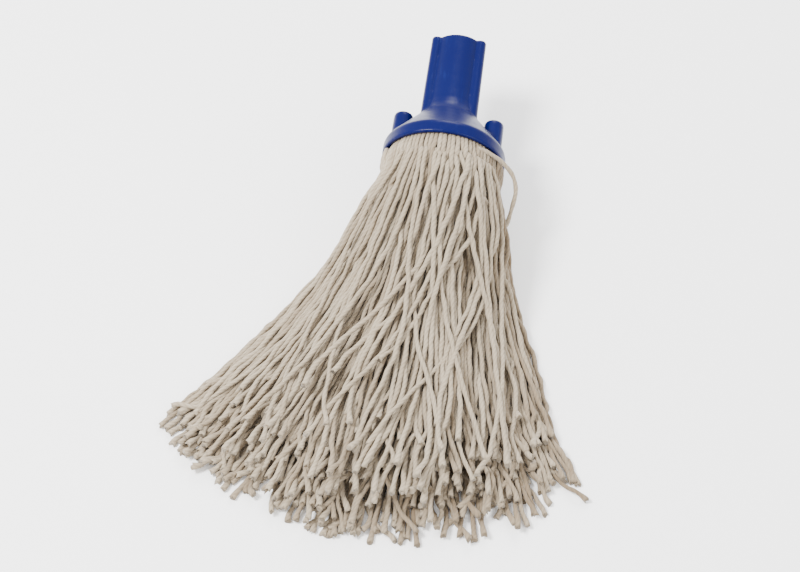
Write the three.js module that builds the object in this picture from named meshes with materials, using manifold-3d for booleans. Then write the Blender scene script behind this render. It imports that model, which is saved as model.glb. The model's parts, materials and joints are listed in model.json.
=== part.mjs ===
// String mop head, lying on its side on a flat surface at z = 0. Millimetres, +Z up.
// A plastic socket takes the handle. Cotton yarn is folded at its middle, laid across the
// socket's hollow underside, and held there by a clamp plate whose two pins are pressed up
// into the socket's bosses. The strands run towards -Y and the socket's mouth faces +Y.
// The yarn is drawn as locks: each lock is a plain solid that stands for about a dozen strands.

import * as THREE from 'three';
import { mergeVertices } from 'three/addons/utils/BufferGeometryUtils.js';
import Module from 'manifold-3d';

const wasm = await Module();
wasm.setup();

// How the head lies
const SOCKET_TILT = THREE.MathUtils.degToRad(10);
const FLANGE_HEIGHT = 37;

// Socket, with heights measured along its axis from the lower edge of the flange rim
const FLANGE_RADIUS = 36;
const SKIRT_INNER_RADIUS = 33.4;
const RIM_TOP = 8;
const SOCKET_LENGTH = 82;
const TUBE_FOOT = 38;
const TUBE_FOOT_RADIUS = 15.2;
const TUBE_MOUTH_RADIUS = 14.6;
const BORE_RADIUS = 12.3;
const BORE_FLOOR = 12;
const WEB_UNDERSIDE = 9;
const RIB_COUNT = 3;
const RIB_MOUTH_RADIUS = 3.3;
const RIB_FOOT_RADIUS = 3.9;
const RIB_CENTRE_RADIUS = 15;
const RIB_FIRST_ANGLE = THREE.MathUtils.degToRad(-60);
const GROOVE_RADIUS = 1.9;
const GROOVE_CENTRE_RADIUS = 12.9;

// Bosses, and the pins of the clamp plate that are pressed into them
const BOSS_ANGLE = THREE.MathUtils.degToRad(-90);
const BOSS_CENTRE_RADIUS = 26.8;
const BOSS_RADIUS = 6;
const BOSS_BASE = 6;
const BOSS_TOP = 31;
const PIN_RADIUS = 3;
const PIN_TOP = 26;
const FIT_GAP = 0.3;

// Clamp plate
const PLATE_LENGTH = 66;
const PLATE_WIDTH = 24;
const PLATE_CORNER_RADIUS = 11;
const PLATE_TOP = -5;
const PLATE_THICKNESS = 3;
const PLATE_RIB_HEIGHT = 1.6;
const PLATE_RIB_WIDTH = 2.4;
const PLATE_RIB_OFFSET = 6;

// Clamped middle of the yarn
const BAND_WIDTH = 46;
const BAND_TOP = 4.4;
const BAND_BOTTOM = -9.8;
const BAND_RADIUS = 35;

// Yarn locks: three layers of columns that leave the clamp as one round bundle and fan out
const YARN_START = 10.2;
const BUNDLE_RADIUS = 34.6;
const SLICE_SLOPE = Math.PI / 4;
const FAN_HEADING = THREE.MathUtils.degToRad(-5);
const FAN_HALF_ANGLE = THREE.MathUtils.degToRad(31);
const FAN_REACH = 228;
const FAN_EDGE_SHORTENING = 14;
const FLOOR_LAYER_REACH = 1.03;
const TOP_LAYER_SHORTENING = 0.07;
const LEAD_OUT = 30;
const LEAD_IN = 60;
const PILE_HEIGHT_AT_CLAMP = 72;
const PILE_HEIGHT_AT_TIPS = 30;
const PILE_EDGE_DROOP = 0.68;
const SETTLING_LENGTH = 0.55;
const LOCK_GAP = 1.3;
const TOP_LOCK_GAP = 3;
const COLUMNS = 7;
const LAYERS = ['floor', 'middle', 'top'];
const LOCK_SIDES = 8;
const LOCK_STEPS = 10;

const socketPlastic = new THREE.MeshStandardMaterial({ color: 0x1b3f98, roughness: 0.35 });
const clampPlastic = new THREE.MeshStandardMaterial({ color: 0x141416, roughness: 0.5 });
const cottonYarn = new THREE.MeshStandardMaterial({ color: 0xcfc4ae, roughness: 0.95 });

// Turns a closed geometry into a solid that can be joined and cut.
function toSolid(geometry) {
  const bare = geometry.clone();
  bare.deleteAttribute('normal');
  bare.deleteAttribute('uv');
  const merged = mergeVertices(bare);
  const corners = merged.index.array;
  const kept = [];
  for (let i = 0; i < corners.length; i += 3) {
    const [a, b, c] = [corners[i], corners[i + 1], corners[i + 2]];
    if (a !== b && b !== c && c !== a) kept.push(a, b, c);
  }
  const vertProperties = new Float32Array(merged.getAttribute('position').array);
  const triVerts = new Uint32Array(kept);
  return new wasm.Manifold(new wasm.Mesh({ numProp: 3, vertProperties, triVerts }));
}

function toGeometry(solid) {
  const mesh = solid.getMesh();
  const geometry = new THREE.BufferGeometry();
  geometry.setAttribute('position', new THREE.BufferAttribute(mesh.vertProperties, mesh.numProp));
  geometry.setIndex(new THREE.BufferAttribute(mesh.triVerts, 1));
  return geometry;
}

// A turned shape about the socket's axis, from a profile of [radius, height] pairs.
function turned(profile, segments) {
  const points = profile.map(([radius, height]) => new THREE.Vector2(radius, height));
  return new THREE.LatheGeometry(points, segments).rotateX(Math.PI / 2);
}

// A round bar along the socket's axis between two heights.
function bar(radius, bottom, top, segments) {
  const geometry = new THREE.CylinderGeometry(radius, radius, top - bottom, segments);
  return geometry.rotateX(Math.PI / 2).translate(0, 0, (bottom + top) / 2);
}

// A point on a circle about the socket's axis: angle 0 is the side that faces up.
function onRing(radius, angle) {
  return new THREE.Vector2(radius * Math.sin(angle), -radius * Math.cos(angle));
}

const bossAngles = [BOSS_ANGLE, BOSS_ANGLE + Math.PI];

function makeSocket() {
  const body = turned([
    [0, WEB_UNDERSIDE],
    [22, WEB_UNDERSIDE],
    [SKIRT_INNER_RADIUS, 5],
    [SKIRT_INNER_RADIUS, 0],
    [FLANGE_RADIUS, 0],
    [FLANGE_RADIUS, RIM_TOP - 1],
    [FLANGE_RADIUS - 1, RIM_TOP],
    [20.5, 25.6],
    [17.8, 29.4],
    [16.1, 33.4],
    [TUBE_FOOT_RADIUS, TUBE_FOOT],
    [TUBE_MOUTH_RADIUS, SOCKET_LENGTH - 0.8],
    [TUBE_MOUTH_RADIUS - 0.6, SOCKET_LENGTH],
    [0, SOCKET_LENGTH],
  ], 40);
  let socket = toSolid(body);
  const hollow = bar(BORE_RADIUS, BORE_FLOOR, SOCKET_LENGTH + 1, 32);
  let bore = toSolid(hollow);
  for (let i = 0; i < RIB_COUNT; i += 1) {
    const angle = RIB_FIRST_ANGLE + i * 2 * Math.PI / RIB_COUNT;
    const ribPlace = onRing(RIB_CENTRE_RADIUS, angle);
    const ribFoot = BORE_FLOOR + 4;
    const rib = turned([
      [0, ribFoot],
      [RIB_FOOT_RADIUS, ribFoot],
      [RIB_MOUTH_RADIUS, SOCKET_LENGTH],
      [0, SOCKET_LENGTH],
    ], 16).translate(ribPlace.x, ribPlace.y, 0);
    const groovePlace = onRing(GROOVE_CENTRE_RADIUS, angle);
    const groove = bar(GROOVE_RADIUS, BORE_FLOOR + 4, SOCKET_LENGTH + 1, 10);
    groove.translate(groovePlace.x, groovePlace.y, 0);
    socket = socket.add(toSolid(rib));
    bore = bore.add(toSolid(groove));
  }
  for (const angle of bossAngles) {
    const place = onRing(BOSS_CENTRE_RADIUS, angle);
    const boss = turned([
      [0, BOSS_BASE],
      [BOSS_RADIUS, BOSS_BASE],
      [BOSS_RADIUS - 0.2, BOSS_TOP - 2],
      [BOSS_RADIUS - 1, BOSS_TOP - 0.6],
      [BOSS_RADIUS - 3, BOSS_TOP],
      [0, BOSS_TOP],
    ], 18).translate(place.x, place.y, 0);
    const hole = bar(PIN_RADIUS + FIT_GAP, 0, PIN_TOP + FIT_GAP, 14).translate(place.x, place.y, 0);
    socket = socket.add(toSolid(boss)).subtract(toSolid(hole));
  }
  return new THREE.Mesh(toGeometry(socket.subtract(bore)), socketPlastic);
}

// Axes of the clamp: pinLine runs from one pin to the other, yarnLine the way the yarn crosses.
const pinDirection = onRing(-1, BOSS_ANGLE);
const pinLine = new THREE.Vector3(pinDirection.x, pinDirection.y, 0);
const socketAxis = new THREE.Vector3(0, 0, 1);
const yarnLine = socketAxis.clone().cross(pinLine);

function makeClampPlate() {
  const halfLength = PLATE_LENGTH / 2;
  const halfWidth = PLATE_WIDTH / 2;
  const outline = new THREE.Shape();
  const r = PLATE_CORNER_RADIUS;
  outline.absarc(halfLength - r, halfWidth - r, r, 0, Math.PI / 2);
  outline.absarc(r - halfLength, halfWidth - r, r, Math.PI / 2, Math.PI);
  outline.absarc(r - halfLength, r - halfWidth, r, Math.PI, Math.PI * 1.5);
  outline.absarc(halfLength - r, r - halfWidth, r, Math.PI * 1.5, Math.PI * 2);
  const slab = new THREE.ExtrudeGeometry(outline, {
    depth: PLATE_THICKNESS,
    bevelEnabled: false,
    curveSegments: 5,
  }).translate(0, 0, PLATE_TOP - PLATE_THICKNESS);
  let plate = toSolid(slab);
  for (const side of [-1, 1]) {
    const rib = new THREE.BoxGeometry(PLATE_LENGTH - 2 * r, PLATE_RIB_WIDTH, PLATE_RIB_HEIGHT + 1);
    const ribHeight = PLATE_TOP - PLATE_THICKNESS - PLATE_RIB_HEIGHT + (PLATE_RIB_HEIGHT + 1) / 2;
    rib.translate(0, side * PLATE_RIB_OFFSET, ribHeight);
    const pin = bar(PIN_RADIUS, PLATE_TOP - 1, PIN_TOP, 14).translate(side * BOSS_CENTRE_RADIUS, 0, 0);
    plate = plate.add(toSolid(rib)).add(toSolid(pin));
  }
  const geometry = toGeometry(plate);
  geometry.applyMatrix4(new THREE.Matrix4().makeBasis(pinLine, yarnLine, socketAxis));
  return new THREE.Mesh(geometry, clampPlastic);
}

// The folded middle of the yarn fills the skirt and wraps round the plate's two long edges.
function makeYarnBand() {
  const inner = PLATE_WIDTH / 2 + FIT_GAP + 0.1;
  const skirt = SKIRT_INNER_RADIUS - 1.4;
  const half = [
    [skirt, BAND_TOP],
    [skirt, -0.5],
    [BAND_RADIUS, -1.5],
    [BAND_RADIUS, BAND_BOTTOM],
    [inner, BAND_BOTTOM],
    [inner, PLATE_TOP + FIT_GAP],
  ];
  const mirrored = half.map(([across, height]) => [-across, height]).reverse();
  const section = new THREE.Shape([...half, ...mirrored].map(([x, y]) => new THREE.Vector2(x, y)));
  const bale = new THREE.ExtrudeGeometry(section, { depth: BAND_WIDTH, bevelEnabled: false });
  bale.translate(0, 0, -BAND_WIDTH / 2);
  bale.applyMatrix4(new THREE.Matrix4().makeBasis(yarnLine, socketAxis, pinLine));
  const room = turned([
    [0, BAND_BOTTOM - 1],
    [BAND_RADIUS, BAND_BOTTOM - 1],
    [BAND_RADIUS, -0.5],
    [SKIRT_INNER_RADIUS - 0.5, -0.5],
    [SKIRT_INNER_RADIUS - 0.5, BAND_TOP + 1],
    [0, BAND_TOP + 1],
  ], 32);
  return new THREE.Mesh(toGeometry(toSolid(bale).intersect(toSolid(room))), cottonYarn);
}

// Height of the pile's top surface at s along the strands and t across the fan.
function pileHeight(s, t) {
  const spread = Math.min(1, s / SETTLING_LENGTH);
  const crown = PILE_HEIGHT_AT_TIPS + (PILE_HEIGHT_AT_CLAMP - PILE_HEIGHT_AT_TIPS) * (1 - s) ** 2;
  return crown * (1 - PILE_EDGE_DROOP * spread * t * t);
}

// The round bundle is cut into upright slices of nearly equal area as t goes from -1 to 1.
function sliceOffset(t) {
  return BUNDLE_RADIUS * (SLICE_SLOPE * t + (1 - SLICE_SLOPE) * t ** 5);
}

function sliceHalfHeight(t) {
  return Math.sqrt(Math.max(0, BUNDLE_RADIUS ** 2 - sliceOffset(t) ** 2));
}

// The yarn's flow: s runs from clamp to tips (0 to 1), t across the fan (-1 to 1) and h up
// through the pile (0 to 1). The bundle starts round, in upright slices from side to side, and
// then sinks to the floor and spreads out.
function yarnPoint(s, t, h) {
  const startX = sliceOffset(t);
  const startUp = sliceHalfHeight(t) * (2 * h - 1);
  const startY = -YARN_START * Math.cos(SOCKET_TILT) - startUp * Math.sin(SOCKET_TILT);
  const startZ = FLANGE_HEIGHT - YARN_START * Math.sin(SOCKET_TILT) + startUp * Math.cos(SOCKET_TILT);
  const heading = FAN_HEADING + FAN_HALF_ANGLE * t;
  const layerReach = FLOOR_LAYER_REACH - TOP_LAYER_SHORTENING * h;
  const reach = (FAN_REACH - FAN_EDGE_SHORTENING * t * t) * layerReach;
  const along = new THREE.Vector2(Math.sin(heading), -Math.cos(heading));
  const start = new THREE.Vector2(startX, startY);
  const end = along.clone().multiplyScalar(reach);
  const path = new THREE.CubicBezierCurve(
    start,
    new THREE.Vector2(startX, startY - LEAD_OUT),
    along.clone().multiplyScalar(reach - LEAD_IN),
    end,
  );
  const place = path.getPoint(s);
  const sunk = THREE.MathUtils.smoothstep(s, 0, SETTLING_LENGTH);
  const z = (1 - sunk) * startZ + sunk * h * pileHeight(s, t);
  return new THREE.Vector3(place.x, place.y, z);
}

// One lock: an eight-sided bar bent along the yarn's flow inside its own cell of the pile.
function makeLock(column, layer) {
  const bar = new THREE.CylinderGeometry(1, 1, 1, LOCK_SIDES, LOCK_STEPS);
  bar.rotateY(Math.PI / LOCK_SIDES);
  const flat = Math.cos(Math.PI / LOCK_SIDES);
  const squared = (value) => Math.sign(value) * (Math.abs(value) / flat) ** 0.6;
  const columnMiddle = (2 * column + 1) / COLUMNS - 1;
  const layerMiddle = (layer + 0.5) / LAYERS.length;
  const position = bar.getAttribute('position');
  for (let i = 0; i < position.count; i += 1) {
    const s = 0.5 - position.getY(i);
    const sliceWidth = BUNDLE_RADIUS * SLICE_SLOPE;
    const fanHalfWidth = THREE.MathUtils.lerp(sliceWidth, FAN_REACH * FAN_HALF_ANGLE, s);
    const sliceHeight = 2 * sliceHalfHeight(columnMiddle);
    const localHeight = THREE.MathUtils.lerp(sliceHeight, pileHeight(1, 0.8), s);
    const sideGap = layer === LAYERS.length - 1 ? TOP_LOCK_GAP : LOCK_GAP;
    const halfColumn = 1 / COLUMNS - sideGap / 2 / fanHalfWidth;
    const halfLayer = 0.5 / LAYERS.length - LOCK_GAP / 2 / localHeight;
    const t = columnMiddle + halfColumn * squared(position.getX(i));
    const underside = layer === 0 && position.getZ(i) < -0.8;
    const h = underside ? 0 : layerMiddle + halfLayer * squared(position.getZ(i));
    const place = yarnPoint(s, t, h);
    position.setXYZ(i, place.x, place.y, place.z);
  }
  return new THREE.Mesh(bar, cottonYarn);
}

const head = new THREE.Group();
head.position.z = FLANGE_HEIGHT;
head.rotation.x = SOCKET_TILT - Math.PI / 2;
const hardParts = { socket: makeSocket(), clamp_plate: makeClampPlate(), yarn_band: makeYarnBand() };
for (const [name, mesh] of Object.entries(hardParts)) {
  mesh.name = name;
  head.add(mesh);
}

const mop = new THREE.Group();
mop.add(head);
LAYERS.forEach((layerName, layer) => {
  for (let column = 0; column < COLUMNS; column += 1) {
    const lock = makeLock(column, layer);
    lock.name = `yarn_${layerName}_${column + 1}`;
    mop.add(lock);
  }
});

// The origin is on the floor under the middle of the mop head's own box.
const box = new THREE.Box3().setFromObject(mop, true);
const middle = box.getCenter(new THREE.Vector3());
mop.position.set(-middle.x, -middle.y, 0);

const group = new THREE.Group();
group.add(mop);

export default group;
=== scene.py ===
import json
import math

import bmesh
import bpy
import numpy as np
from mathutils import Matrix, Vector


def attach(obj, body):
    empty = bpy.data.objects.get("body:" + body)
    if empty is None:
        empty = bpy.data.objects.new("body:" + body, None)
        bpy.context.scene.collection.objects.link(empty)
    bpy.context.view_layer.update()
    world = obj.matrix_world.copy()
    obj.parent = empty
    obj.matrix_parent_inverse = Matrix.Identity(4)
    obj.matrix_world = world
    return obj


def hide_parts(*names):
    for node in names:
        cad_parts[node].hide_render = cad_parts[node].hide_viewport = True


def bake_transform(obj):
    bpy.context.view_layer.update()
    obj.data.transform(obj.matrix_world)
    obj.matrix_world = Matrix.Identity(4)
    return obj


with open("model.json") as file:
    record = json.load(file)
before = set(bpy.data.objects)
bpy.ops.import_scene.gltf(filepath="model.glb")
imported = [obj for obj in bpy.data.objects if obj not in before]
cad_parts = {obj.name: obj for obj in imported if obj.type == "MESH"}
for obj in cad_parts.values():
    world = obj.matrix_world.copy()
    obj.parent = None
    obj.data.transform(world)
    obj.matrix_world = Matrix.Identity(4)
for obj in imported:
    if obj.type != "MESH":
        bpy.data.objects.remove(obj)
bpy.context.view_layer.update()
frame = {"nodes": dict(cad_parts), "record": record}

# ---------------------------------------------------------------------------------------------
# The view: the head lies on a pale sheet and is seen from above the tips of its strands with a
# long lens, so that the socket leans a little to the right.
# ---------------------------------------------------------------------------------------------
view_elevation = math.radians(52)
view_turn = math.radians(7.6)
view_distance = 1.26
aim = Vector((0.002, -0.006, 0.022))
towards_camera = Vector((
    math.cos(view_elevation) * math.sin(view_turn),
    -math.cos(view_elevation) * math.cos(view_turn),
    math.sin(view_elevation),
))
camera_data = bpy.data.cameras.new("camera")
camera_data.lens = 100
camera_data.sensor_width = 36
camera = bpy.data.objects.new("camera", camera_data)
camera.location = aim + towards_camera * view_distance
camera.rotation_mode = "QUATERNION"
camera.rotation_quaternion = (-towards_camera).to_track_quat("-Z", "Y")
bpy.context.collection.objects.link(camera)
bpy.context.scene.camera = camera

# ---------------------------------------------------------------------------------------------
# Socket: one injection moulding in blue polypropylene. A ribbed tube takes the handle, a cone
# joins it to the flange, and two hollow bosses on the flange take the clamp plate's pins. It is
# built with its bore upright, from turned shapes fused to one skin, and then laid down.
# ---------------------------------------------------------------------------------------------
socket_length = 0.082
mouth_radius, mouth_angle = 0.0132, math.radians(5)
mouth = next(m for m in frame["record"]["mounts"] if m["name"] == "socket_mouth")
bore_axis = Vector(mouth["axis"]).normalized()
across = Vector((1, 0, 0))
upward = across.cross(bore_axis)
flange_centre = Vector(mouth["pos_m"]) - bore_axis * socket_length
flange_centre -= across * mouth_radius * math.sin(mouth_angle)
flange_centre -= upward * mouth_radius * math.cos(mouth_angle)
laying_down = Matrix((across, -upward, bore_axis)).transposed().to_4x4()
laying_down.translation = flange_centre


def on_ring(radius, angle, height=0.0):
    """A point on a circle about the upright bore. Angle 0 faces up once the socket is laid down."""
    return Vector((radius * math.sin(angle), -radius * math.cos(angle), height))


def finished_mesh(shape):
    """The mesh that an object's modifiers give."""
    bpy.context.view_layer.update()
    return bpy.data.meshes.new_from_object(
        shape.evaluated_get(bpy.context.evaluated_depsgraph_get())
    )


def turned(name, outline, sides, place=(0, 0, 0)):
    """A closed turned shape as a mesh, from its half outline in (radius, height), top to bottom."""
    mesh = bpy.data.meshes.new(name)
    edges = [(i, i + 1) for i in range(len(outline) - 1)]
    mesh.from_pydata([(radius, 0, height) for radius, height in outline], edges, [])
    shape = bpy.data.objects.new(name, mesh)
    bpy.context.collection.objects.link(shape)
    spin = shape.modifiers.new("spin", "SCREW")
    spin.steps = spin.render_steps = sides
    spin.use_merge_vertices = True
    spin.merge_threshold = 0.00002
    solid = finished_mesh(shape)
    solid.transform(Matrix.Translation(place))
    bpy.data.objects.remove(shape)
    return solid


def gathered(name, solids):
    """One object that holds several closed meshes."""
    shell = bmesh.new()
    for solid in solids:
        shell.from_mesh(solid)
        bpy.data.meshes.remove(solid)
    bmesh.ops.recalc_face_normals(shell, faces=shell.faces)
    mesh = bpy.data.meshes.new(name)
    shell.to_mesh(mesh)
    shell.free()
    piece = bpy.data.objects.new(name, mesh)
    bpy.context.collection.objects.link(piece)
    return piece


# The tube, the cone, the flange with its rim, and the hollow skirt beneath.
body_outline = [
    (0.0000, 0.0820), (0.0139, 0.0820), (0.0144, 0.0818), (0.0146, 0.0813), (0.0148, 0.0640),
    (0.0151, 0.0440), (0.0154, 0.0370), (0.0160, 0.0333), (0.0169, 0.0308), (0.0183, 0.0284),
    (0.0204, 0.0257), (0.0250, 0.0202), (0.0300, 0.0143), (0.0342, 0.0094), (0.0355, 0.0078),
    (0.0360, 0.0064), (0.0360, 0.0006), (0.0355, 0.0000), (0.0337, 0.0000), (0.0334, 0.0003),
    (0.0334, 0.0042), (0.0326, 0.0052), (0.0220, 0.0090), (0.0000, 0.0090),
]
rib_outline = [
    (0.0000, 0.0820), (0.0026, 0.0820), (0.0031, 0.0818), (0.0033, 0.0813), (0.0035, 0.0600),
    (0.0039, 0.0160), (0.0000, 0.0160),
]
boss_outline = [
    (0.0000, 0.0310), (0.0040, 0.0309), (0.0050, 0.0305), (0.0056, 0.0297), (0.0058, 0.0280),
    (0.0061, 0.0060), (0.0000, 0.0060),
]
bore_outline = [
    (0.0000, 0.0860), (0.0128, 0.0860), (0.0128, 0.0820), (0.0123, 0.0814), (0.0122, 0.0135),
    (0.0114, 0.0122), (0.0000, 0.0120),
]
groove_outline = [(0.0000, 0.0860), (0.0019, 0.0860), (0.0019, 0.0170), (0.0000, 0.0160)]
rib_centre, groove_centre, boss_centre = 0.0150, 0.0129, 0.0268
rib_angles = [math.radians(-60 + 120 * i) for i in range(3)]
boss_angles = [math.radians(-90), math.radians(90)]
socket = gathered("socket_moulding", [
    turned("body", body_outline, 160),
    *[turned("rib", rib_outline, 40, on_ring(rib_centre, angle)) for angle in rib_angles],
    *[turned("boss", boss_outline, 64, on_ring(boss_centre, angle)) for angle in boss_angles],
])
core = gathered("core", [
    turned("bore", bore_outline, 120),
    *[turned("groove", groove_outline, 32, on_ring(groove_centre, angle)) for angle in rib_angles],
])
cut = socket.modifiers.new("bore", "BOOLEAN")
cut.operation = "DIFFERENCE"
cut.solver = "EXACT"
cut.use_self = True
cut.object = core
skin = socket.modifiers.new("skin", "REMESH")
skin.mode = "VOXEL"
skin.voxel_size = 0.0006
relax = socket.modifiers.new("relax", "SMOOTH")
relax.factor = 0.5
relax.iterations = 5
moulding = finished_mesh(socket)
socket.modifiers.clear()
socket.data = moulding
moulding.transform(laying_down)
moulding.polygons.foreach_set("use_smooth", [True] * len(moulding.polygons))
bpy.data.objects.remove(core)


def node_group(name, inputs, outputs):
    """An empty shader node group with number inputs (name, default) and number outputs."""
    group = bpy.data.node_groups.new(name, "ShaderNodeTree")
    for label, default in inputs:
        made = group.interface.new_socket(label, in_out="INPUT", socket_type="NodeSocketFloat")
        made.default_value = default
    for label in outputs:
        group.interface.new_socket(label, in_out="OUTPUT", socket_type="NodeSocketFloat")
    return group, group.nodes.new("NodeGroupInput"), group.nodes.new("NodeGroupOutput")


def noise(nodes, links, vector, scale, detail=3.0, stretch=None):
    """A noise texture on a vector, with the vector stretched first where that is asked."""
    texture = nodes.new("ShaderNodeTexNoise")
    texture.inputs["Scale"].default_value = scale
    texture.inputs["Detail"].default_value = detail
    if stretch:
        mapping = nodes.new("ShaderNodeMapping")
        mapping.inputs["Scale"].default_value = stretch
        links.new(vector, mapping.inputs["Vector"])
        vector = mapping.outputs["Vector"]
    links.new(vector, texture.inputs["Vector"])
    return texture.outputs["Fac"]


def ramp(nodes, links, value, low, high, to_low=0.0, to_high=1.0):
    """A value mapped from one range to another, and clamped."""
    remap = nodes.new("ShaderNodeMapRange")
    remap.inputs["From Min"].default_value = low
    remap.inputs["From Max"].default_value = high
    remap.inputs["To Min"].default_value = to_low
    remap.inputs["To Max"].default_value = to_high
    links.new(value, remap.inputs["Value"])
    return remap.outputs["Result"]


def calculated(nodes, links, operation, *values):
    """One Math node on its values, each a number or another node's output."""
    node = nodes.new("ShaderNodeMath")
    node.operation = operation
    for index, value in enumerate(values):
        if isinstance(value, (int, float)):
            node.inputs[index].default_value = value
        else:
            links.new(value, node.inputs[index])
    return node.outputs[0]


def mixed(nodes, links, factor, colour_a, colour_b):
    """A Mix node between two colours, each a colour or another node's output."""
    mix = nodes.new("ShaderNodeMix")
    mix.data_type = "RGBA"
    links.new(factor, mix.inputs["Factor"])
    for label, colour in (("A", colour_a), ("B", colour_b)):
        if isinstance(colour, tuple):
            mix.inputs[label].default_value = (*colour, 1)
        else:
            links.new(colour, mix.inputs[label])
    return mix.outputs["Result"]


def bumped(nodes, links, shader, height, strength, depth):
    """A fine relief on a shader's surface, from a height."""
    bump = nodes.new("ShaderNodeBump")
    bump.inputs["Strength"].default_value = strength
    bump.inputs["Distance"].default_value = depth
    links.new(height, bump.inputs["Height"])
    links.new(bump.outputs["Normal"], shader.inputs["Normal"])


def moulded_surface():
    """Group: the fine skin of moulded plastic, with handling scuffs and dust."""
    group, entry, leave = node_group(
        "moulded surface",
        [("Scuffs", 0.5), ("Dust", 0.2)],
        ["Scuff mask", "Tone", "Height"],
    )
    nodes, links = group.nodes, group.links
    place = nodes.new("ShaderNodeTexCoord").outputs["Object"]
    scratches = ramp(nodes, links, noise(nodes, links, place, 900, 2.0, (1.0, 0.12, 0.7)), 0.56, 0.72)
    patches = ramp(nodes, links, noise(nodes, links, place, 70, 4.0), 0.45, 0.65)
    marks = calculated(nodes, links, "MULTIPLY", scratches, patches)
    scuffed = calculated(nodes, links, "MULTIPLY", marks, entry.outputs["Scuffs"])
    links.new(scuffed, leave.inputs["Scuff mask"])
    tone = noise(nodes, links, place, 38, 5.0)
    dusty = calculated(nodes, links, "MULTIPLY", tone, entry.outputs["Dust"])
    links.new(dusty, leave.inputs["Tone"])
    grain = noise(nodes, links, place, 2600, 2.0)
    swell = noise(nodes, links, place, 160, 2.0)
    links.new(calculated(nodes, links, "MULTIPLY_ADD", swell, 2.5, grain), leave.inputs["Height"])
    return group


moulded = moulded_surface()


def moulded_plastic(name, colour, worn_colour, roughness, scuffs, dust, grain_depth):
    """A moulded plastic: its colour, the paler colour of its scuffs, and its gloss."""
    material = bpy.data.materials.new(name)
    material.use_nodes = True
    nodes, links = material.node_tree.nodes, material.node_tree.links
    shader = nodes["Principled BSDF"]
    shader.inputs["Specular IOR Level"].default_value = 0.12
    surface = nodes.new("ShaderNodeGroup")
    surface.node_tree = moulded
    surface.inputs["Scuffs"].default_value = scuffs
    surface.inputs["Dust"].default_value = dust
    marks, tone = surface.outputs["Scuff mask"], surface.outputs["Tone"]
    wear = ramp(nodes, links, calculated(nodes, links, "ADD", marks, tone), 0.0, 1.0)
    links.new(mixed(nodes, links, wear, colour, worn_colour), shader.inputs["Base Color"])
    dulled = calculated(nodes, links, "MULTIPLY_ADD", wear, 0.35, roughness)
    links.new(dulled, shader.inputs["Roughness"])
    bumped(nodes, links, shader, surface.outputs["Height"], 0.35, grain_depth)
    return material


blue_plastic = moulded_plastic(
    "blue polypropylene", (0.0002, 0.0018, 0.048), (0.003, 0.014, 0.11), 0.27, 0.30, 0.10, 0.00012
)
socket.data.materials.append(blue_plastic)
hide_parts("socket")
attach(socket, "head")

# ---------------------------------------------------------------------------------------------
# Clamp plate: one black moulding under the yarn. Its two pins are pressed up into the socket's
# bosses, and so it holds the folded strands for good.
# ---------------------------------------------------------------------------------------------
black_plastic = moulded_plastic(
    "black plastic", (0.012, 0.012, 0.013), (0.06, 0.06, 0.06), 0.42, 0.6, 0.25, 0.00015
)
plate = frame["nodes"]["clamp_plate"]
plate.data.materials.clear()
plate.data.materials.append(black_plastic)

# ---------------------------------------------------------------------------------------------
# Yarn bundle: about 280 strands of undyed cotton, each folded at its middle under the skirt. Some
# 550 ends leave the clamp, ring within ring, as one round bundle, parted below the bosses.
# ---------------------------------------------------------------------------------------------
strand_radius = 0.00132
bundle_radius = 0.0346
ring_spacing, smallest_ring_radius = 0.00262, 0.002
parted_ring, parted_angle = 1, math.radians(8)
slice_slope = math.pi / 4
random = np.random.RandomState(11)


def slice_offset(t):
    """How far across the round bundle the place t lies, where -1 to 1 holds equal shares of it."""
    return bundle_radius * (slice_slope * t + (1 - slice_slope) * t**5)


def across_and_up(x, up):
    """The (t, h) of a strand that leaves the bundle at x across and up from its middle."""
    low, high = -1.0, 1.0
    for halving in range(24):
        t = (low + high) / 2
        if slice_offset(t) < x:
            low = t
        else:
            high = t
    half_height = math.sqrt(max(bundle_radius**2 - x * x, 1e-9))
    return t, max(0, min(1, (up / half_height + 1) / 2))


def from_the_bosses(angle):
    """The smallest angle between a place on a ring and a boss."""
    return min(abs((angle - boss + math.pi) % (2 * math.pi) - math.pi) for boss in boss_angles)


starts = []
ring_number, ring_radius = 0, bundle_radius - 0.0008
while ring_radius > smallest_ring_radius:
    count = int(2 * math.pi * ring_radius / ring_spacing)
    first_angle = random.uniform(0, 2 * math.pi)
    for place in range(count):
        angle = first_angle + 2 * math.pi * (place + random.uniform(-0.15, 0.15)) / count
        if ring_number != parted_ring or from_the_bosses(angle) >= parted_angle:
            starts.append((ring_number, ring_radius, angle))
    ring_number += 1
    ring_radius -= ring_spacing
strand_t, strand_h = np.array([
    across_and_up(radius * math.sin(angle), radius * math.cos(angle))
    for ring, radius, angle in starts
]).T
strand_count = len(starts)

# ---------------------------------------------------------------------------------------------
# Pile: the hanging ends sink from the clamp to the floor and fan out. Each is drawn into a wisp
# towards its tip, and has waves and a length of its own. The right half is ruffled more.
# ---------------------------------------------------------------------------------------------
stations = 52
yarn_start = 0.0102
fan_heading, fan_half_angle = math.radians(-5), math.radians(31)
fan_reach, edge_shortening = 0.228, 0.014
floor_reach, top_shortening = 1.03, 0.07
lead_out, lead_in = 0.021, 0.052
height_at_clamp, height_at_tips = 0.072, 0.030
edge_droop = 0.68
settled_at = 0.55
wisp_count, wisp_lean, wisp_pull = 17, 4, 0.72
wave_kinds = [(1.1, 0.042), (0.45, 0.027), (0.20, 0.0125), (0.10, 0.0040)]  # (length, size)
wave_size, wave_lift = 1.25, 3.2


def smooth(value):
    """An ease from 0 to 1, level at both ends."""
    value = np.clip(value, 0, 1)
    return value * value * (3 - 2 * value)


def pile_height(s, t):
    """Height of the pile's top, at s along the strands and t across the fan."""
    crown = height_at_tips + (height_at_clamp - height_at_tips) * (1 - s) ** 2
    return crown * (1 - edge_droop * np.minimum(1, s / settled_at) * t * t)


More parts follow.
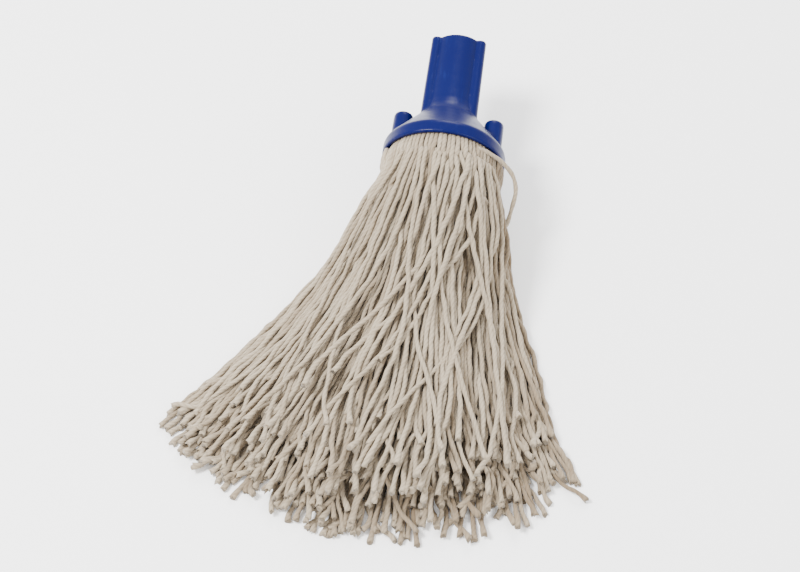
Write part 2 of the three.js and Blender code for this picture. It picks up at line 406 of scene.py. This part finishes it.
def yarn_flow(s, t, h, length=1.0):
    """Where a strand runs: s from clamp to tip, t across the fan, h up through the pile."""
    start_x = slice_offset(t)
    start_up = np.sqrt(np.maximum(bundle_radius**2 - start_x**2, 0)) * (2 * h - 1)
    start_y = -yarn_start * bore_axis.y + start_up * upward.y
    start_z = flange_centre.z - yarn_start * bore_axis.z + start_up * upward.z
    heading = fan_heading + fan_half_angle * t
    reach = (fan_reach - edge_shortening * t * t) * (floor_reach - top_shortening * h) * length
    along_x, along_y = np.sin(heading), -np.cos(heading)
    rest = 1 - s
    first, second, third, fourth = rest**3, 3 * rest**2 * s, 3 * rest * s**2, s**3
    x = (first + second) * start_x + third * along_x * (reach - lead_in) + fourth * along_x * reach
    y = first * start_y + second * (start_y - lead_out)
    y = y + third * along_y * (reach - lead_in) + fourth * along_y * reach
    sunk = smooth(s / settled_at)
    z = (1 - sunk) * start_z + sunk * h * pile_height(s, t)
    return np.stack([x + flange_centre.x, y + flange_centre.y, z], axis=-1)


def each_strand(low, high):
    """One even random number for each strand, as a column."""
    return random.uniform(low, high, (strand_count, 1))


s = np.linspace(0, 1, stations)[None, :]
t, h = strand_t[:, None], strand_h[:, None]
wisp = np.floor((t + 1) / 2 * wisp_count + h * wisp_lean).astype(int)
wisp_kinds = wisp.max() + 2
wisp_shift = random.uniform(-0.04, 0.04, wisp_kinds)[wisp]
wisp_lift = random.uniform(-0.20, 0.22, wisp_kinds)[wisp]
wisp_length = random.normal(0, 0.030, wisp_kinds)[wisp]
wisp_centre = (wisp + 0.5 - h * wisp_lean) * 2 / wisp_count - 1 + wisp_shift
ruffled = 0.50 + 0.95 * smooth((t + 0.45) / 0.8)
waves = np.zeros((strand_count, stations, 2))
for wavelength, size in wave_kinds:
    for direction in range(2):
        phase = each_strand(0, 2 * math.pi)
        strength = each_strand(0.15, 1.0) ** 1.5 * size * wave_size
        stretch = each_strand(0.8, 1.25) * wavelength
        waves[:, :, direction] += strength * np.sin(2 * math.pi * s / stretch + phase)
waves *= ruffled[:, :, None]
fade = smooth(s / 0.35)
splay = random.normal(0, 0.045, (strand_count, 1)) * smooth((s - 0.82) / 0.18)
t_path = t + (wisp_centre - t) * (wisp_pull * s**1.4)
t_path = t_path + waves[:, :, 0] * fade + splay
h_path = h + waves[:, :, 1] * wave_lift * fade
h_path = h_path + wisp_lift * smooth((s - 0.2) / 0.5)
h_path = h_path - 0.25 * smooth((s - 0.9) / 0.1) * each_strand(0, 1)
own_length = 1 + random.normal(0, 0.030, (strand_count, 1)) + wisp_length
own_length = own_length - 0.16 * h * each_strand(0, 1)
own_length = own_length - 0.05 * smooth(t / 0.6)
paths = yarn_flow(
    s, np.clip(t_path, -1.03, 1.03), np.clip(h_path, 0.02, 1.0), np.minimum(own_length, 1.02)
)
# Each strand's tone varies at random. On top of that, painted light makes strands high in the pile
# paler, painted shade makes those beneath darker, and the tone grows darker towards the right.
strand_tone_and_painted_shade = random.normal(0.20 + 0.34 * strand_h - 0.14 * strand_t, 0.15).clip(0.0, 0.95)

# ---------------------------------------------------------------------------------------------
# Loose strands: ends of the same yarn that have been pulled across the top of the others, most
# of them from the right down to the left.
# ---------------------------------------------------------------------------------------------
loose_height, loose_lift = 0.985, 0.0032
loose = [  # (t at the clamp, t at the end, share of the length, sideways bow)
    (0.72, -0.38, 0.72, 0.22),
    (0.55, -0.20, 0.80, -0.12),
    (0.80, 0.05, 0.86, 0.28),
    (0.62, 0.18, 0.93, -0.16),
    (0.88, 0.30, 0.80, 0.12),
    (0.45, -0.02, 0.66, 0.20),
    (0.30, -0.30, 0.88, 0.14),
    (0.12, 0.36, 0.90, -0.14),
    (-0.05, 0.28, 0.97, 0.16),
    (0.20, -0.48, 0.78, 0.10),
    (-0.30, -0.04, 0.90, 0.18),
    (-0.55, -0.30, 0.86, -0.10),
    (-0.35, -0.66, 0.93, 0.10),
    (-0.75, -0.52, 0.95, -0.14),
    (0.50, 0.74, 0.95, 0.12),
    (0.78, 0.50, 0.84, -0.24),
    (0.34, 0.62, 0.90, -0.18),
    (0.92, 0.60, 0.97, 0.10),
    (0.66, 0.36, 0.70, 0.18),
    (0.05, -0.14, 0.84, -0.12),
]
travel = np.linspace(0, 1, stations)
loose_paths = []
for start_t, end_t, share, bow in loose:
    crossing = start_t + (end_t - start_t) * smooth((travel - 0.12) / 0.88)
    crossing += bow * np.sin(math.pi * travel) ** 2
    crossing += 0.03 * np.sin(travel * 11 + start_t * 40)
    path = yarn_flow(travel * share, np.clip(crossing, -1, 1), np.full(stations, loose_height))
    rise = 1 + 0.5 * np.sin(travel * 7 + start_t * 9)
    path[:, 2] += loose_lift * smooth(travel / 0.25) * rise
    loose_paths.append(path)
paths = np.concatenate([paths, loose_paths])

# ---------------------------------------------------------------------------------------------
# Settling: strands that share a place push each other apart, a little at a time, and the pile
# sinks onto the floor. Their first points are held by the clamp.
# ---------------------------------------------------------------------------------------------
settling_rounds = 60
apart = 2 * strand_radius
close_by, coarse_step = 0.009, 6
largest_push, push_share, sinking, straightening = 0.0006, 0.35, 0.00005, 0.2
coarse = paths[:, ::coarse_step, :]
gaps = np.linalg.norm(coarse[:, None] - coarse[None], axis=-1).min(axis=-1)
first, second = np.nonzero(np.triu(gaps < close_by, 1))
hold = smooth(np.linspace(0, 1, stations) / 0.06)[None, :, None]
for settling_round in range(settling_rounds):
    tangent = np.gradient(paths, axis=1)
    tangent /= np.linalg.norm(tangent, axis=-1, keepdims=True) + 1e-9
    gap = paths[first] - paths[second]
    along = tangent[first]
    gap -= (gap * along).sum(-1, keepdims=True) * along
    distance = np.linalg.norm(gap, axis=-1, keepdims=True) + 1e-7
    push = gap / distance * np.clip(apart - distance, 0, None) * push_share
    move = np.zeros_like(paths)
    np.add.at(move, first, push)
    np.add.at(move, second, -push)
    move = np.clip(move, -largest_push, largest_push)
    move[:, :, 2] -= sinking
    paths += move * hold
    eased = paths.copy()
    eased[:, 1:-1] *= 1 - straightening
    eased[:, 1:-1] += (paths[:, :-2] + paths[:, 2:]) * straightening / 2
    paths = paths + (eased - paths) * hold
    paths[:, :, 2] = np.maximum(paths[:, :, 2], strand_radius * 1.05)

# ---------------------------------------------------------------------------------------------
# Slack strand: one end that bulges out past the rim on the right before it falls in with the
# others. It is the last of the loose strands, and lies on the settled pile.
# ---------------------------------------------------------------------------------------------
bulge = [  # (distance from the bore's line, degrees round it, height along it)
    (0.0335, 38, -0.0030), (0.0350, 52, -0.0032), (0.0385, 66, -0.0045), (0.0425, 77, -0.0085),
    (0.0445, 84, -0.0160), (0.0432, 88, -0.0260), (0.0405, 90, -0.0380),
]
slack_lift = 0.0022
bulge_points = [
    laying_down @ on_ring(radius, math.radians(angle), height) for radius, angle, height in bulge
]
fall = np.linspace(0.22, 0.93, stations - len(bulge))
fallen = yarn_flow(fall, 0.80 - 0.1 * fall, np.ones_like(fall))
slack = np.concatenate([np.array(bulge_points), fallen])
slack[:, 2] += slack_lift * smooth(travel * 3 - 0.4)

# ---------------------------------------------------------------------------------------------
# Clamped middles: the folded middles of the strands, laid side by side across the skirt in three
# levels and bent down at both ends. The clamp plate presses them up against the moulding.
# ---------------------------------------------------------------------------------------------
strand_sides, strand_step = 8, 0.0019
frayed_length, curled_length = 0.009, 0.016
ply_length, lump_length = 0.021, 0.017
# The first two colours span the strands' tones, from dull to clean cotton. The same span also carries
# the painted shade on strands low in the pile and the painted light on its top.
dull_and_shaded_cotton, clean_and_lit_cotton = (0.140, 0.095, 0.052), (0.345, 0.285, 0.207)
# The second brown is painted shade in the grooves between the plies.
husk_brown, ply_groove_painted_shade = (0.15, 0.098, 0.052), (0.125, 0.086, 0.047)


def resampled(points, step):
    """A smooth curve through the points, cut into equal steps, and how far along each step is."""
    points = np.asarray(points, float)
    spans = np.linalg.norm(np.diff(points, axis=0), axis=1)
    reach = np.concatenate([[0], np.cumsum(spans)])
    slopes = np.gradient(points, reach, axis=0)
    wanted = np.linspace(0, reach[-1], max(4, int(round(reach[-1] / step)) + 1))
    span = np.clip(np.searchsorted(reach, wanted, side="right") - 1, 0, len(spans) - 1)
    width = spans[span][:, None]
    share = (wanted - reach[span])[:, None] / width
    square, cube = share**2, share**3
    curve = (2 * cube - 3 * square + 1) * points[span]
    curve += (cube - 2 * square + share) * width * slopes[span]
    curve += (3 * square - 2 * cube) * points[span + 1]
    curve += (cube - square) * width * slopes[span + 1]
    return curve, wanted


def strand_mesh(points, tone, frayed):
    """One strand: its vertices, ring by ring, how far along each ring is, and each one's shade."""
    path, reach = resampled(points, strand_step)
    from_the_end = reach[-1] - reach
    loose_end = 1.0 if frayed else 0.0
    fraying = loose_end * smooth(1 - from_the_end / frayed_length)
    phases = random.uniform(0, 2 * math.pi, (3, 3))
    bends = 2 * math.pi * reach[:, None] / random.uniform(0.012, 0.030, 2)
    wobble = np.sin(bends[:, :1] + phases[0]) + 0.8 * np.sin(bends[:, 1:] + phases[1])
    path = path + wobble * smooth(reach / 0.04)[:, None] * 0.00020
    curl = smooth(1 - from_the_end / curled_length)[:, None] * random.normal(0, 0.0020, (1, 3))
    path = path + curl * loose_end
    path[:, 2] = np.maximum(path[:, 2], strand_radius)

    tangent = np.gradient(path, axis=0)
    tangent /= np.linalg.norm(tangent, axis=1, keepdims=True)
    side = np.cross(tangent, (0.0, 0.0, 1.0))
    side /= np.linalg.norm(side, axis=1, keepdims=True) + 1e-9
    over = np.cross(side, tangent)
    corner = np.arange(strand_sides) * 2 * math.pi / strand_sides
    twist = 2 * math.pi * reach[:, None] / ply_length + phases[2, 0]
    oval = 1 + 0.10 * np.cos(2 * (corner + twist))
    lumps = 1 + 0.05 * np.sin(reach * 2 * math.pi / lump_length + phases[2, 1])
    thickness = lumps * (1 + 0.32 * fraying)
    radius = strand_radius * random.uniform(0.88, 1.10) * thickness[:, None] * oval
    rings = path[:, None] + side[:, None] * (np.cos(corner) * radius)[:, :, None]
    rings += over[:, None] * (np.sin(corner) * radius)[:, :, None]
    if frayed:
        ragged = random.normal(0, 0.0006, (strand_sides, 1))
        rings[-1] += tangent[-1] * ragged
        rings[-2] += tangent[-1] * ragged * 0.4
    first_point = path[0] - tangent[0] * 0.0002
    last_point = path[-1] + tangent[-1] * (-0.0012 if frayed else 0.0002)
    vertices = np.concatenate([[first_point], rings.reshape(-1, 3), [last_point]])
    vertices[:, 2] = np.maximum(vertices[:, 2], 0.00005)
    shade = np.full(len(vertices), tone)
    shade[1:-1] += np.repeat(0.22 * fraying, strand_sides)
    return vertices, reach, shade


def yarn_piece(name, strands):
    """Strands, each (points, tone, frayed), as one mesh with its UVs and shades."""
    vertices, corners, sizes, uvs, shades = [], [], [], [], []
    here = np.arange(strand_sides)
    after = (here + 1) % strand_sides
    base = 0
    for points, tone, frayed in strands:
        strand_vertices, reach, shade = strand_mesh(points, tone, frayed)
        rings = len(reach)
        low = base + 1 + np.arange(rings - 1)[:, None] * strand_sides
        high = low + strand_sides
        last = base + 1 + rings * strand_sides
        last_ring = last - strand_sides
        ends = np.full(strand_sides, base), np.full(strand_sides, last)
        faces = [
            np.stack([low + here, high + here, high + after, low + after], axis=-1),
            np.stack([ends[0], base + 1 + here, base + 1 + after], axis=-1),
            np.stack([ends[1], last_ring + after, last_ring + here], axis=-1),
        ]
        wall_uvs = np.zeros((rings - 1, strand_sides, 4, 2))
        wall_uvs[..., 0] = (here[:, None] + [0, 0, 1, 1]) / strand_sides
        wall_uvs[..., 1] = np.where(
            [False, True, True, False], reach[1:, None, None], reach[:-1, None, None]
        )
        end_uvs = np.zeros((2, strand_sides * 3, 2))
        end_uvs[1, :, 1] = reach[-1]
        vertices.append(strand_vertices)
        corners.extend(face.ravel() for face in faces)
        sizes.append(np.repeat([4, 3], [(rings - 1) * strand_sides, 2 * strand_sides]))
        uvs.extend([wall_uvs.reshape(-1, 2), end_uvs.reshape(-1, 2)])
        shades.append(shade)
        base += len(strand_vertices)
    vertices, corners, sizes = (np.concatenate(part) for part in (vertices, corners, sizes))
    mesh = bpy.data.meshes.new(name)
    mesh.vertices.add(len(vertices))
    mesh.vertices.foreach_set("co", vertices.astype(np.float32).ravel())
    mesh.loops.add(len(corners))
    mesh.loops.foreach_set("vertex_index", corners.astype(np.int32))
    mesh.polygons.add(len(sizes))
    face_starts = np.concatenate([[0], np.cumsum(sizes)[:-1]])
    mesh.polygons.foreach_set("loop_start", face_starts.astype(np.int32))
    mesh.polygons.foreach_set("use_smooth", np.ones(len(sizes), bool))
    layer = mesh.uv_layers.new(name="along the strand")
    layer.data.foreach_set("uv", np.concatenate(uvs).astype(np.float32).ravel())
    attribute = mesh.attributes.new("shade", "FLOAT", "POINT")
    attribute.data.foreach_set("value", np.concatenate(shades).astype(np.float32))
    mesh.update(calc_edges=True)
    mesh.validate()
    piece = bpy.data.objects.new(name, mesh)
    bpy.context.collection.objects.link(piece)
    return piece


def plied_yarn():
    """Group: plies that wind round a strand, from its UV (u round it, v metres along it)."""
    group, entry, leave = node_group(
        "plied yarn", [("Plies", 3.0), ("Turns per metre", 95.0)], ["Crown", "Height"]
    )
    nodes, links = group.nodes, group.links
    along = nodes.new("ShaderNodeUVMap")
    along.uv_map = "along the strand"
    parts = nodes.new("ShaderNodeSeparateXYZ")
    links.new(along.outputs["UV"], parts.inputs["Vector"])
    place = nodes.new("ShaderNodeTexCoord").outputs["Object"]
    turns = calculated(
        nodes, links, "MULTIPLY_ADD", parts.outputs["Y"], entry.outputs["Turns per metre"],
        parts.outputs["X"],
    )
    uneven = noise(nodes, links, place, 90, 2.0)
    plies = calculated(nodes, links, "MULTIPLY_ADD", turns, entry.outputs["Plies"], uneven)
    swing = calculated(nodes, links, "SINE", calculated(nodes, links, "MULTIPLY", plies, 2 * math.pi))
    crown = ramp(nodes, links, swing, -1.0, 0.6)
    links.new(crown, leave.inputs["Crown"])
    fibres = noise(nodes, links, along.outputs["UV"], 1.0, 3.0, stretch=(22.0, 900.0, 1.0))
    fuzz = noise(nodes, links, place, 1500, 3.0)
    hairs = calculated(nodes, links, "ADD", fibres, fuzz)
    links.new(calculated(nodes, links, "MULTIPLY_ADD", hairs, 0.45, crown), leave.inputs["Height"])
    return group


def cotton_material():
    """Undyed cotton: warm off-white with flecks of seed husk; painted shade browns it between the
    plies and darkens the strands low in the pile, and painted light pales those on its top.
    """
    material = bpy.data.materials.new("undyed cotton")
    material.use_nodes = True
    nodes, links = material.node_tree.nodes, material.node_tree.links
    shader = nodes["Principled BSDF"]
    shader.inputs["Roughness"].default_value = 0.95
    shader.inputs["Sheen Weight"].default_value = 0.15
    shader.inputs["Sheen Roughness"].default_value = 0.6
    shader.inputs["Specular IOR Level"].default_value = 0.12
    place = nodes.new("ShaderNodeTexCoord").outputs["Object"]
    yarn = nodes.new("ShaderNodeGroup")
    yarn.node_tree = plied_yarn()
    shade = nodes.new("ShaderNodeAttribute")
    shade.attribute_name = "shade"
    # The tone is random patches plus each strand's shade, which holds painted shade low in the pile
    # and painted light on its top.
    patches = noise(nodes, links, place, 24, 3.0)
    tone = calculated(nodes, links, "MULTIPLY_ADD", patches, 0.5, shade.outputs["Fac"])
    colour = mixed(nodes, links, ramp(nodes, links, tone, 0.1, 1.0), dull_and_shaded_cotton, clean_and_lit_cotton)
    flecks = ramp(nodes, links, noise(nodes, links, place, 380, 4.0), 0.60, 0.80, 0.0, 0.5)
    colour = mixed(nodes, links, flecks, colour, husk_brown)
    # Painted shade: the cotton is browned in the grooves between the plies, where the crowns are low.
    groove = ramp(nodes, links, yarn.outputs["Crown"], 0.0, 0.7, 0.32, 0.0)
    links.new(mixed(nodes, links, groove, colour, ply_groove_painted_shade), shader.inputs["Base Color"])
    bumped(nodes, links, shader, yarn.outputs["Height"], 0.55, 0.00030)
    return material


cotton = cotton_material()
middle_levels, middles_per_level, middle_tone = (0.0028, 0.0002, -0.0024), 18, 0.45
half_width, half_length, folded_depth = 0.0225, 0.0295, -0.0098
boss_line = laying_down.to_3x3() @ on_ring(1, boss_angles[1])
yarn_line = bore_axis.cross(boss_line)
middles = []
for level in middle_levels:
    for number in range(middles_per_level):
        beside = half_width * (2 * number / (middles_per_level - 1) - 1)
        centre = flange_centre + boss_line * beside
        reach = math.sqrt(half_length**2 - beside**2) - (middle_levels[0] - level) * 0.5
        bend = [
            (reach, folded_depth),
            (reach - 0.0002, level - 0.0050),
            (reach - 0.0030, level - 0.0006),
            (reach - 0.0070, level),
        ]
        near = [centre - yarn_line * out + bore_axis * height for out, height in bend]
        far = [centre + yarn_line * out + bore_axis * height for out, height in reversed(bend)]
        middles.append(([*near, centre + bore_axis * level, *far], middle_tone, False))
clamped = yarn_piece("clamped_yarn", middles)
clamped.data.materials.append(cotton)
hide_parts("yarn_band")
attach(clamped, "head")

# ---------------------------------------------------------------------------------------------
# Hanging locks: the strands' free ends, from the skirt to their frayed tips, as 21 pieces in
# three layers. The top ones lift at their hinges at the clamp, and are not attached to the head.
# ---------------------------------------------------------------------------------------------
layers, columns = ["floor", "middle", "top"], 7
plate_half_width = 0.0140
loose_tone = 0.6


def into_the_skirt(ring, radius, angle):
    """The first points of a strand, from the clamp to the start of its free length."""
    outermost = ring == 0
    if radius * math.sin(from_the_bosses(angle)) < plate_half_width:
        route = [(0.0347, -0.0014), (0.0350, -0.0060)] if outermost else [(radius, -0.0104)]
    elif outermost:
        route = [(0.0312, 0.0035), (0.0317, 0.0005), (0.0328, -0.0024), (0.0337, -0.0060)]
    else:
        route = [(radius, -0.0035), (radius, -0.0070)]
    return [laying_down @ on_ring(out, angle, height) for out, height in route]


def column_at(t):
    """Which lock, counted across the fan, holds a strand at t."""
    return min(columns - 1, int((t + 1) / 2 * columns)) + 1


locks = {f"yarn_{layer}_{column + 1}": [] for layer in layers for column in range(columns)}
for index, start in enumerate(starts):
    layer = layers[min(2, int(strand_h[index] * 3))]
    points = [*into_the_skirt(*start), *paths[index][1:]]
    locks[f"yarn_{layer}_{column_at(strand_t[index])}"].append((points, strand_tone_and_painted_shade[index], True))
for path, (start_t, *_) in zip(paths[strand_count:], loose):
    locks[f"yarn_top_{column_at(start_t)}"].append((path, loose_tone, True))
locks[f"yarn_top_{columns}"].append((slack, loose_tone, True))

lifts = {joint["child"]: joint for joint in frame["record"]["behaviour"]["joints"]}
for name, strands in locks.items():
    lock = yarn_piece(f"{name}_strands", strands)
    lock.data.materials.append(cotton)
    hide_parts(name)
    body = name.replace("yarn_top", "lock")
    if body in lifts:
        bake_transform(lock)
    else:
        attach(lock, "head")

# ---------------------------------------------------------------------------------------------
# Floor and studio light: a pale sheet, one large soft lamp high on the left, weaker ones on the
# right and behind, and a white room all round.
# ---------------------------------------------------------------------------------------------
floor_half_width = 6.0
sheet = bmesh.new()
bmesh.ops.create_grid(sheet, x_segments=1, y_segments=1, size=floor_half_width)
floor_mesh = bpy.data.meshes.new("floor")
sheet.to_mesh(floor_mesh)
sheet.free()
floor = bpy.data.objects.new("floor", floor_mesh)
bpy.context.collection.objects.link(floor)
paper = bpy.data.materials.new("pale paper")
paper.use_nodes = True
paper_shader = paper.node_tree.nodes["Principled BSDF"]
paper_shader.inputs["Base Color"].default_value = (0.97, 0.97, 0.97, 1)
paper_shader.inputs["Roughness"].default_value = 0.9
floor.data.materials.append(paper)


def lamp(name, place, size, power):
    """A soft round lamp that faces the head."""
    data = bpy.data.lights.new(name, "AREA")
    data.shape = "DISK"
    data.size = size
    data.energy = power
    made = bpy.data.objects.new(name, data)
    made.location = place
    made.rotation_mode = "QUATERNION"
    made.rotation_quaternion = (aim - Vector(place)).to_track_quat("-Z", "Y")
    bpy.context.collection.objects.link(made)


lamp("key", (-0.9, -0.3, 1.5), 0.6, 72)
lamp("fill", (1.3, -0.9, 1.2), 1.2, 18)
lamp("back", (0.1, 1.5, 1.2), 0.9, 26)
world = bpy.data.worlds.new("studio")
world.use_nodes = True
room = world.node_tree.nodes["Background"]
room.inputs["Color"].default_value = (1, 1, 1, 1)
room.inputs["Strength"].default_value = 1.9
bpy.context.scene.world = world
